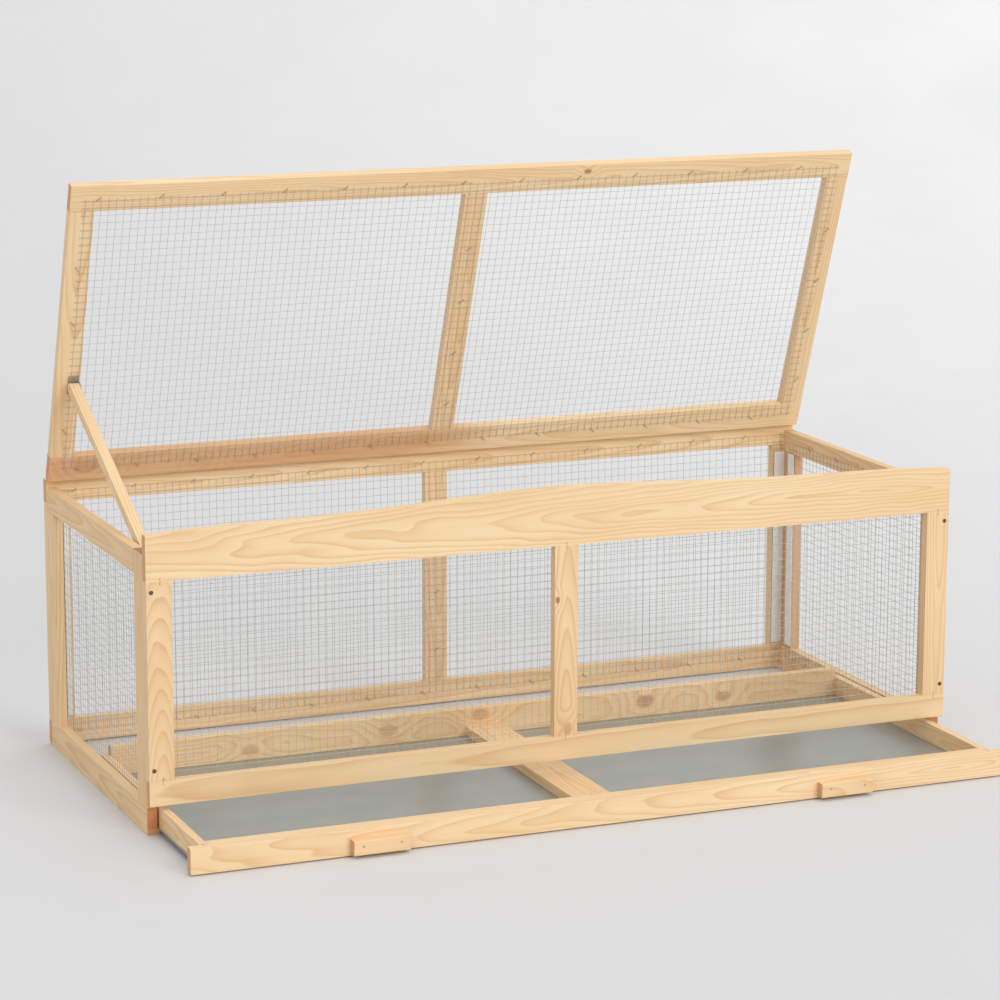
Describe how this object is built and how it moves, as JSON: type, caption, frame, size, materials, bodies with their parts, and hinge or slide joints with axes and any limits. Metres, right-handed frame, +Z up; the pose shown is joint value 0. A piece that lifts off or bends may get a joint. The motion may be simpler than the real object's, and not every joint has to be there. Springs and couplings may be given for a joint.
{
  "type": "rodent cage",
  "caption": "Long low rodent cage of pale pine frames and welded wire mesh, with a hinged mesh lid, a prop stick and a pull-out bedding drawer.",
  "frame": {"origin": "centre of the bounding box's underside at rest, with the lid propped open and the drawer pulled part way out", "axes": "+X to the right seen from the front, +Y from the drawer's front towards the back, +Z up"},
  "size_m": [1.37, 0.785, 0.9543],
  "materials": {
    "pine": "satin",
    "galvanised_wire": "satin",
    "plated_steel": "satin",
    "tray_sheet": "satin",
    "edge_strip": "matte"
  },
  "bodies": {
    "frame": {"back_bottom_rail": "pine", "back_centre_stile": "pine", "back_left_stile": "pine", "back_mesh": "galvanised_wire", "back_right_stile": "pine", "back_top_rail": "pine", "corner_screws": "plated_steel", "corrugated_fasteners": "plated_steel", "frame_staples": "plated_steel", "front_bottom_rail": "pine", "front_centre_stile": "pine", "front_fascia": "pine", "front_left_stile": "pine", "front_mesh": "galvanised_wire", "front_right_stile": "pine", "hinge_frame_screws": "plated_steel", "left_back_cover_strip": "edge_strip", "left_base_rail": "pine", "left_front_stile": "pine", "left_hinge_frame_leaf": "plated_steel", "left_hinge_pin": "plated_steel", "left_mesh": "galvanised_wire", "left_rear_stile": "pine", "left_runner": "pine", "left_side_cover_strip": "edge_strip", "left_top_rail": "pine", "right_back_cover_strip": "edge_strip", "right_base_rail": "pine", "right_front_stile": "pine", "right_hinge_frame_leaf": "plated_steel", "right_hinge_pin": "plated_steel", "right_mesh": "galvanised_wire", "right_rear_stile": "pine", "right_runner": "pine", "right_side_cover_strip": "edge_strip", "right_top_rail": "pine"},
    "lid": {"left_hinge_lid_leaf": "plated_steel", "lid_centre_stile": "pine", "lid_front_rail": "pine", "lid_left_stile": "pine", "lid_mesh": "galvanised_wire", "lid_rear_rail": "pine", "lid_right_stile": "pine", "lid_screws": "plated_steel", "lid_staples": "plated_steel", "prop_bracket": "plated_steel", "prop_pivot_screw": "plated_steel", "right_hinge_lid_leaf": "plated_steel"},
    "prop": {"prop_stick": "pine"},
    "drawer": {"drawer_centre_rail": "pine", "drawer_corner_fasteners": "plated_steel", "drawer_front": "pine", "drawer_inner_front_rail": "pine", "drawer_left_handle": "pine", "drawer_left_rail": "pine", "drawer_nails": "plated_steel", "drawer_rear_rail": "pine", "drawer_right_handle": "pine", "drawer_right_rail": "pine", "drawer_tray_sheet": "tray_sheet"}
  },
  "joints": [
    {"name": "lid_hinge", "type": "hinge", "parent": "frame", "child": "lid", "pos_m": [0, 0.3754, 0.4505], "axis": [1, 0, 0], "range_deg": [-30, 70]},
    {"name": "prop_swing", "type": "hinge", "parent": "lid", "child": "prop", "pos_m": [-0.6584, 0.28869, 0.61358], "axis": [1, 0, 0], "range_deg": [-45.6, 19.6]},
    {"name": "drawer_slide", "type": "slide", "parent": "frame", "child": "drawer", "axis": [0, -1, 0], "range_m": [-0.1995, 0.298]}
  ],
  "couplings": [
    {"joint": "prop_swing", "follows": "lid_hinge", "ratio": -0.65}
  ]
}
